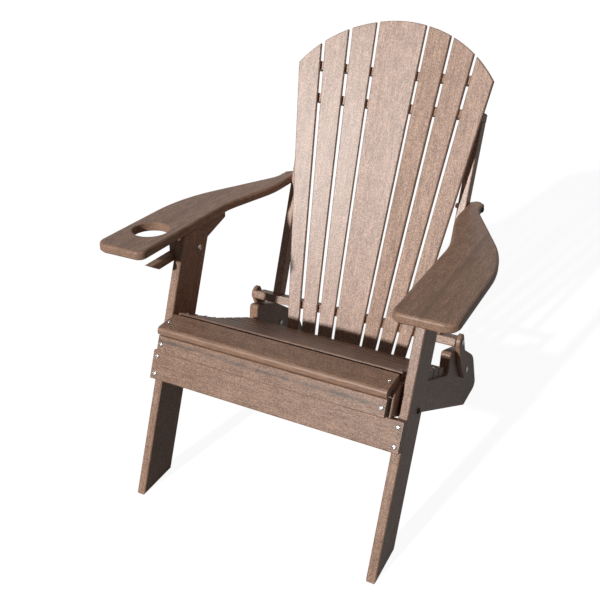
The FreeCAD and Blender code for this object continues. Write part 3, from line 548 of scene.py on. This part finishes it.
def head_seats(node, way, dome, side=0):
    """Places under the heads of a node's like fasteners that all look one way, and their least length.

    The node's points are split into rows by height across the way and the rows into single fasteners;
    each has its middle across the way and its head's top along it. side keeps only those of one side.
    """
    mesh = frame["nodes"][node].data
    points = np.empty(3 * len(mesh.vertices))
    mesh.vertices.foreach_get("co", points)
    points = points.reshape(-1, 3)
    points = points[points[:, X] * side >= 0.0]
    up = np.array([0.0, 0.0, 1.0]) - way[Z] * way
    up /= np.linalg.norm(up)
    across = np.cross(up, way)
    seats, lengths = [], []
    for row in apart(points, points @ up):
        for single in apart(row, row @ across):
            reach = single @ way
            centre = [((single @ axis).min() + (single @ axis).max()) / 2 for axis in (across, up)]
            seats.append(centre[0] * across + centre[1] * up + (reach.max() - dome) * way)
            lengths.append(reach.max() - reach.min() - dome)
    return seats, min(lengths)


def middle(node):
    """Centre of a CAD node's box."""
    low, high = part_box(node)
    return (np.array(low) + np.array(high)) / 2


# Pivot bolts painted near black as shade, in place of their steel's own colour
SHADE_BOLTS = ("seat_pivot_bolts", "back_pivot_bolt_left", "back_pivot_bolt_right")


def finish_steel(piece, nodes):
    """Steel look, slot, body and the CAD nodes that the piece stands for."""
    look = bpy.context.scene.chair_steel
    name, tone = "steel", look.colour
    # These bolts take the near-black steel of painted shade
    if nodes[0] in SHADE_BOLTS:
        name, tone = "black_steel", look.bolt_shade_colour
    piece.data.materials.append(bpy.data.materials.get(name) or steel_material(name, tone[:]))
    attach(piece, BODY_OF_NODE[nodes[0]])
    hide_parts(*nodes)


class CHAIR_OT_boards(bpy.types.Operator):
    """Give every board its lumber"""

    bl_idname = "chair.boards"
    bl_label = "Lumber on the boards"

    def execute(self, context):
        look = context.scene.chair_lumber
        for name, nodes, turn, along, colour, band, sawn in BOARDS:
            if band is not None:
                laid = Matrix.Rotation(math.radians(turn), 3, "X") @ Vector(middle(nodes[0]))
                axis, offset, *rest = band
                band = (axis, abs(laid[axis]) + offset, *rest)
            dress(nodes, lumber_material(name, turn, along, getattr(look, colour)[:], band, sawn))
        return {"FINISHED"}


class CHAIR_OT_screws(bpy.types.Operator):
    """Make the pan-head screws of seat, apron, stretcher and back"""

    bl_idname = "chair.screws"
    bl_label = "Screws"

    def execute(self, context):
        look = context.scene.chair_steel
        front, rear = rear_way(LEG_LEAN, -1), rear_way(BACK_LEAN, 1)
        rows = (("apron_screws", front), ("stretcher_screws", front), ("slat_screws_long", rear),
                ("slat_screws_short", rear))
        for node, way in rows:
            seats, length = head_seats(node, way, look.screw_dome)
            self.make(look, node, seats, [way] * len(seats), length, look.screw_head)
        seats, ways = [], []
        falls = [("front_seat_slat", 0.0)]
        falls += [(name, SEAT_FALL_FRONT) for name in SEAT_FRONT]
        falls += [(name, SEAT_FALL_REAR) for name in SEAT_REAR]
        low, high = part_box("front_seat_slat")
        half_board = (high[Z] - low[Z]) / 2
        screw_x = (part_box("rail_right")[0][X] + high[X]) / 2
        for name, fall in falls:
            way = np.array([0.0, math.sin(math.radians(fall)), math.cos(math.radians(fall))])
            for side in (-1, 1):
                seats.append(middle(name) + half_board * way + (side * screw_x, 0.0, 0.0))
                ways.append(way)
        self.make(look, "seat_screws", seats, ways, look.screw_length, look.seat_head)
        return {"FINISHED"}

    def make(self, look, node, seats, ways, length, head):
        """One group of like screws in place of its CAD node."""
        rings = socketed_head(head, look.screw_dome, look.screw_shank, length, SCREW_SIDES,
                              SCREW_SOCKET * head)
        finish_steel(turned_piece(node + "_turned", rings, seats, ways), [node])


# Pivot bolts: node, 1 where the heads look outwards and -1 inwards, the sides that they are on
BOLTS = (
    ("seat_pivot_bolts", 1, (-1, 1)),
    ("arm_pivot_bolts", -1, (-1, 1)),
    ("link_pivot_bolts", 1, (-1, 1)),
    ("link_upper_bolts", 1, (-1, 1)),
    ("back_pivot_bolt_left", 1, (-1,)),
    ("back_pivot_bolt_right", 1, (1,)),
)


class CHAIR_OT_bolts(bpy.types.Operator):
    """Make the pivot bolts and give nuts, washers and hidden screws their steel"""

    bl_idname = "chair.bolts"
    bl_label = "Bolts and nuts"

    def execute(self, context):
        look = context.scene.chair_steel
        for node, outwards, sides in BOLTS:
            seats, ways = [], []
            for side in sides:
                way = np.array([float(side * outwards), 0.0, 0.0])
                found, length = head_seats(node, way, look.bolt_dome, side)
                seats += found
                ways += [way] * len(found)
            rings = socketed_head(look.bolt_head, look.bolt_dome, look.bolt_shank, length, BOLT_SIDES,
                                  BOLT_SOCKET * look.bolt_head)
            finish_steel(turned_piece(node + "_turned", rings, seats, ways), [node])
        entries = frame["record"]["subparts"]
        dress([entry["node"] for entry in entries if entry["material_slot"] == STEEL],
              bpy.data.materials["steel"])
        return {"FINISHED"}


FRAME_WIDTH_MM = 36.0
WHITE = (1.0, 1.0, 1.0)


class CHAIR_OT_stage(bpy.types.Operator):
    """Set up floor, light and camera"""

    bl_idname = "chair.stage"
    bl_label = "Stage"

    def execute(self, context):
        stage = context.scene.chair_stage
        self.make_floor(context, stage)
        self.make_light(context, stage)
        self.make_camera(context, stage)
        context.scene.view_settings.view_transform = "Standard"
        return {"FINISHED"}

    def make_floor(self, context, stage):
        """A level square floor that shows pale to the camera and keeps the chair's shadow."""
        reach = stage.floor_size
        corners = [(-reach, -reach, 0), (reach, -reach, 0), (reach, reach, 0), (-reach, reach, 0)]
        mesh = bpy.data.meshes.new("floor")
        mesh.from_pydata(corners, [], [(0, 1, 2, 3)])
        floor = bpy.data.objects.new("floor", mesh)
        context.scene.collection.objects.link(floor)
        material = bpy.data.materials.new("floor_paint")
        build = Build(material)
        strength = stage.floor_glow * build.seen(stage.mirrored_floor)
        glow = build.node("ShaderNodeEmission", None, {"Strength": strength})
        paint = build.node("ShaderNodeBsdfDiffuse", None, {"Color": stage.floor_colour[:]})
        build.surface(build.node("ShaderNodeAddShader", None, {0: paint, 1: glow}))
        mesh.materials.append(material)

    def make_light(self, context, stage):
        """A key lamp, a broad rear lamp that gloss doesn't mirror, and an even fill."""
        lamps = (("key", stage.key_way, stage.sun_strength, stage.sun_size),
                 ("rear", stage.rear_way, stage.rear_strength, stage.rear_size))
        for name, way, strength, size in lamps:
            light = bpy.data.lights.new(name, "SUN")
            light.energy = strength
            light.angle = size
            lamp = bpy.data.objects.new(name, light)
            lamp.rotation_euler = Vector(way).to_track_quat("Z", "Y").to_euler()
            lamp.visible_glossy = name == "key"
            context.scene.collection.objects.link(lamp)
        world = bpy.data.worlds.new("studio")
        build = Build(world)
        strength = stage.sky_strength + (1.0 - stage.sky_strength) * build.seen(stage.mirrored_sky)
        sky = build.node("ShaderNodeBackground", None, {"Color": WHITE, "Strength": strength})
        build.node("ShaderNodeOutputWorld", None, {"Surface": sky})
        context.scene.world = world

    def make_camera(self, context, stage):
        """A camera turned by heading, dip and roll."""
        ahead = Vector((-math.sin(stage.heading) * math.cos(stage.dip),
                        math.cos(stage.heading) * math.cos(stage.dip), -math.sin(stage.dip)))
        level = Vector((math.cos(stage.heading), math.sin(stage.heading), 0.0))
        up = level.cross(ahead)
        right = math.cos(stage.roll) * level + math.sin(stage.roll) * up
        top = right.cross(ahead)
        data = bpy.data.cameras.new("photo_view")
        data.lens = stage.lens
        data.sensor_width = FRAME_WIDTH_MM
        camera = bpy.data.objects.new("photo_view", data)
        turn = Matrix((right, top, -ahead)).transposed()
        camera.matrix_world = Matrix.Translation(Vector(stage.eye)) @ turn.to_4x4()
        context.scene.collection.objects.link(camera)
        context.scene.camera = camera


class CHAIR_PT_looks(bpy.types.Panel):
    """Sidebar panel with the chair's operators and settings"""

    bl_label = "Lounge Chair"
    bl_idname = "CHAIR_PT_looks"
    bl_space_type = "VIEW_3D"
    bl_region_type = "UI"
    bl_category = "Lounge Chair"

    def draw(self, context):
        for operator in OPERATORS:
            self.layout.operator(operator.bl_idname)
        for name, group in SETTINGS:
            for setting in group.__annotations__:
                self.layout.prop(getattr(context.scene, name), setting)


SETTINGS = (("chair_lumber", LumberSettings), ("chair_steel", SteelSettings),
            ("chair_stage", StageSettings))
OPERATORS = (CHAIR_OT_boards, CHAIR_OT_screws, CHAIR_OT_bolts, CHAIR_OT_stage)


def register():
    """Makes the settings, operators and panel known."""
    for name, group in SETTINGS:
        bpy.utils.register_class(group)
        setattr(bpy.types.Scene, name, PointerProperty(type=group))
    for operator in OPERATORS:
        bpy.utils.register_class(operator)
    bpy.utils.register_class(CHAIR_PT_looks)


def unregister():
    """Takes them away again."""
    bpy.utils.unregister_class(CHAIR_PT_looks)
    for operator in reversed(OPERATORS):
        bpy.utils.unregister_class(operator)
    for name, group in reversed(SETTINGS):
        delattr(bpy.types.Scene, name)
        bpy.utils.unregister_class(group)


def main():
    """Builds the looks piece by piece."""
    register()
    bpy.ops.chair.boards()
    bpy.ops.chair.screws()
    bpy.ops.chair.bolts()
    bpy.ops.chair.stage()


if __name__ == "__main__":
    main()
